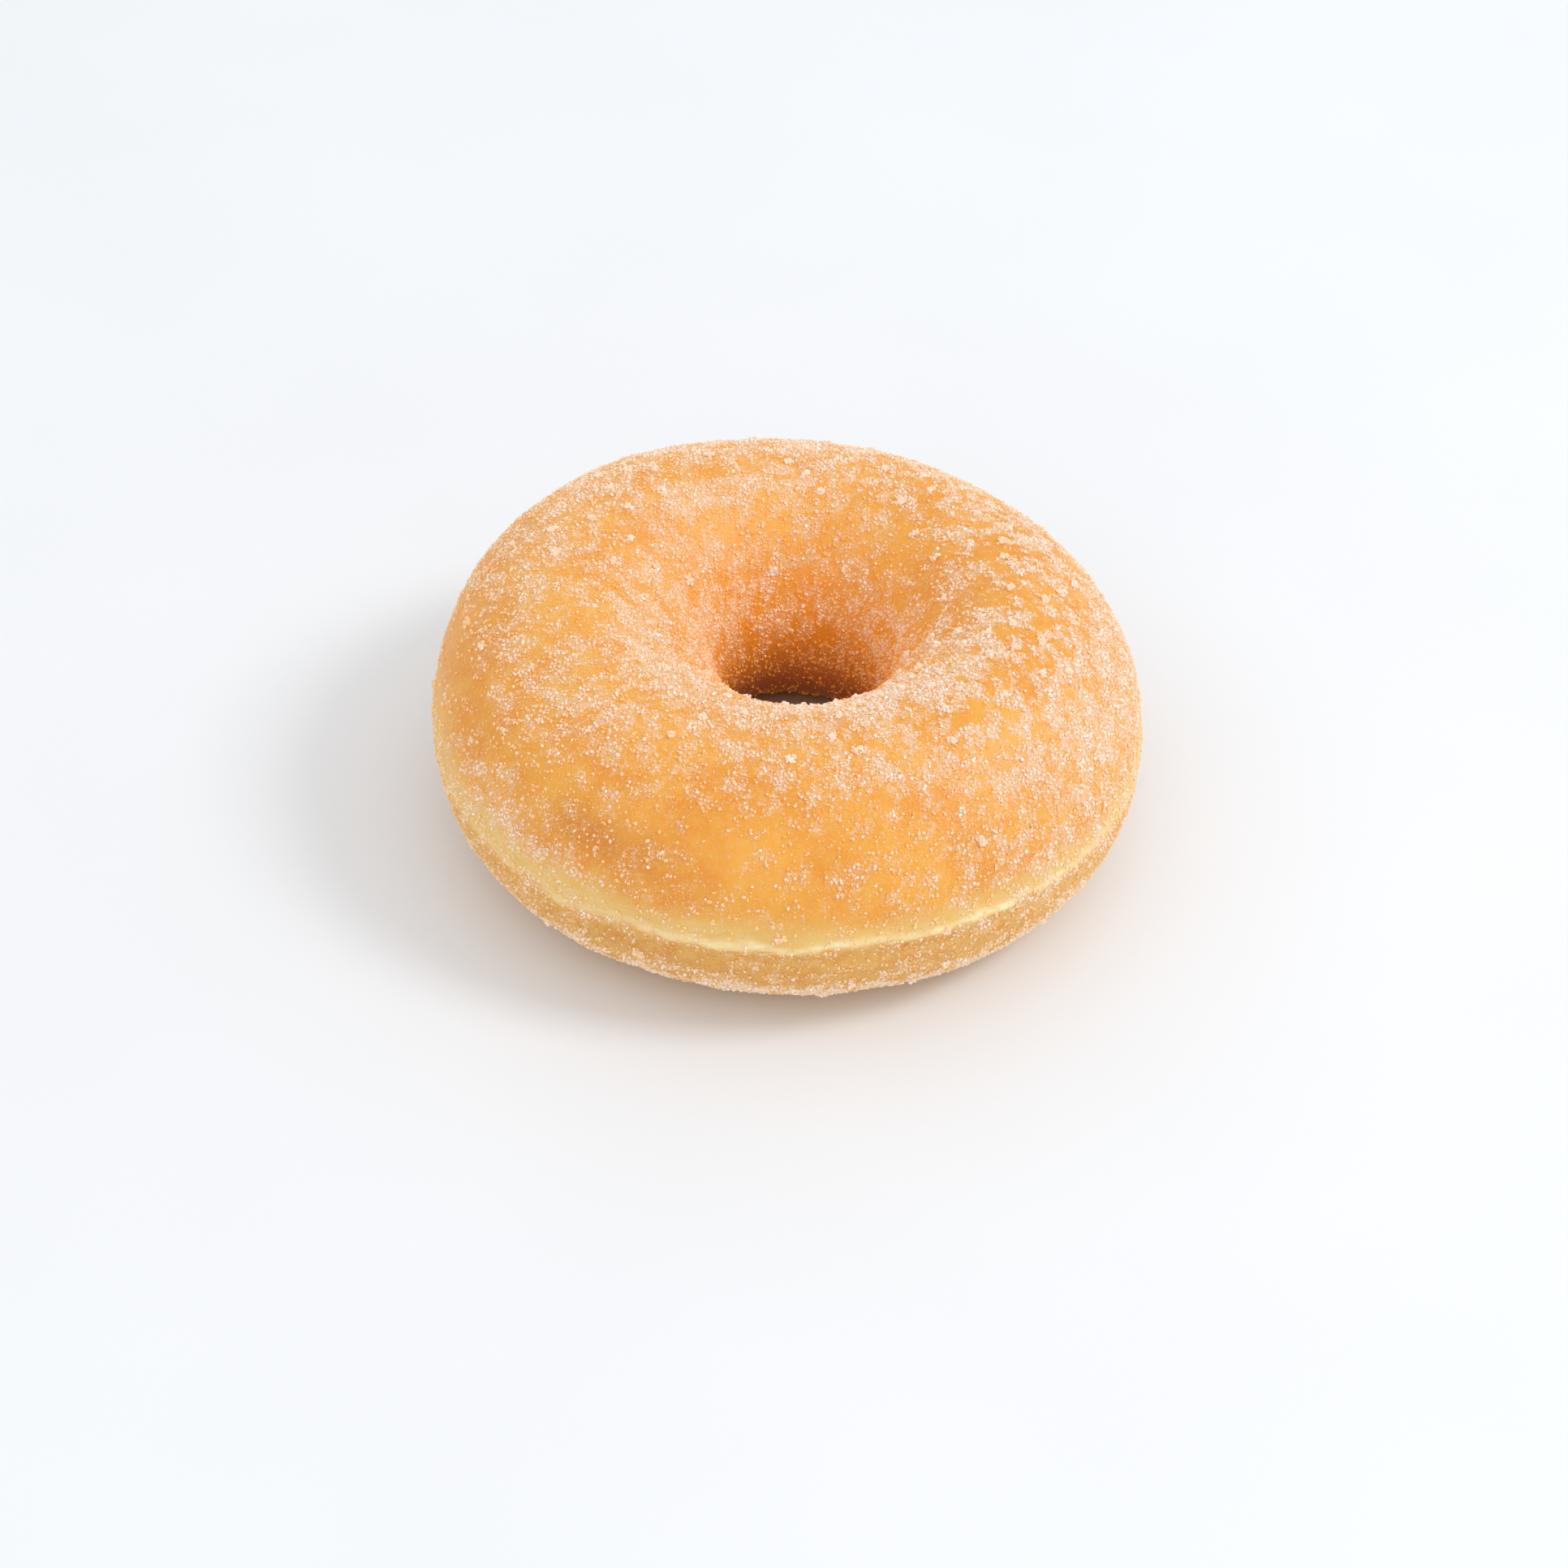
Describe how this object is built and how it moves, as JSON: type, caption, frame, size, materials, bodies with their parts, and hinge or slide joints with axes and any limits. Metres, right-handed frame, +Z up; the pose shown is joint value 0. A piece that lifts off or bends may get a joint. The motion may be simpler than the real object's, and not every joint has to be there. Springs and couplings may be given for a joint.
{
  "type": "sugared ring doughnut",
  "caption": "Round fried ring doughnut with a pale band round its waist, an open hole through the middle and a coat of sugar; lies flat on its underside.",
  "frame": {"origin": "on the resting plane, under the middle of the doughnut's outline", "axes": "+Z up through the hole, -Y towards the side with the crease below the pale band, +X to that side's right"},
  "size_m": [0.0957, 0.0951, 0.0376],
  "materials": {
    "crust": "golden fried crust, slightly oily, under a thin uneven coat of granulated sugar",
    "sugar": "loose grains and small clumps of clear white granulated sugar"
  },
  "bodies": {
    "root": {"doughnut": "crust"}
  },
  "joints": []
}
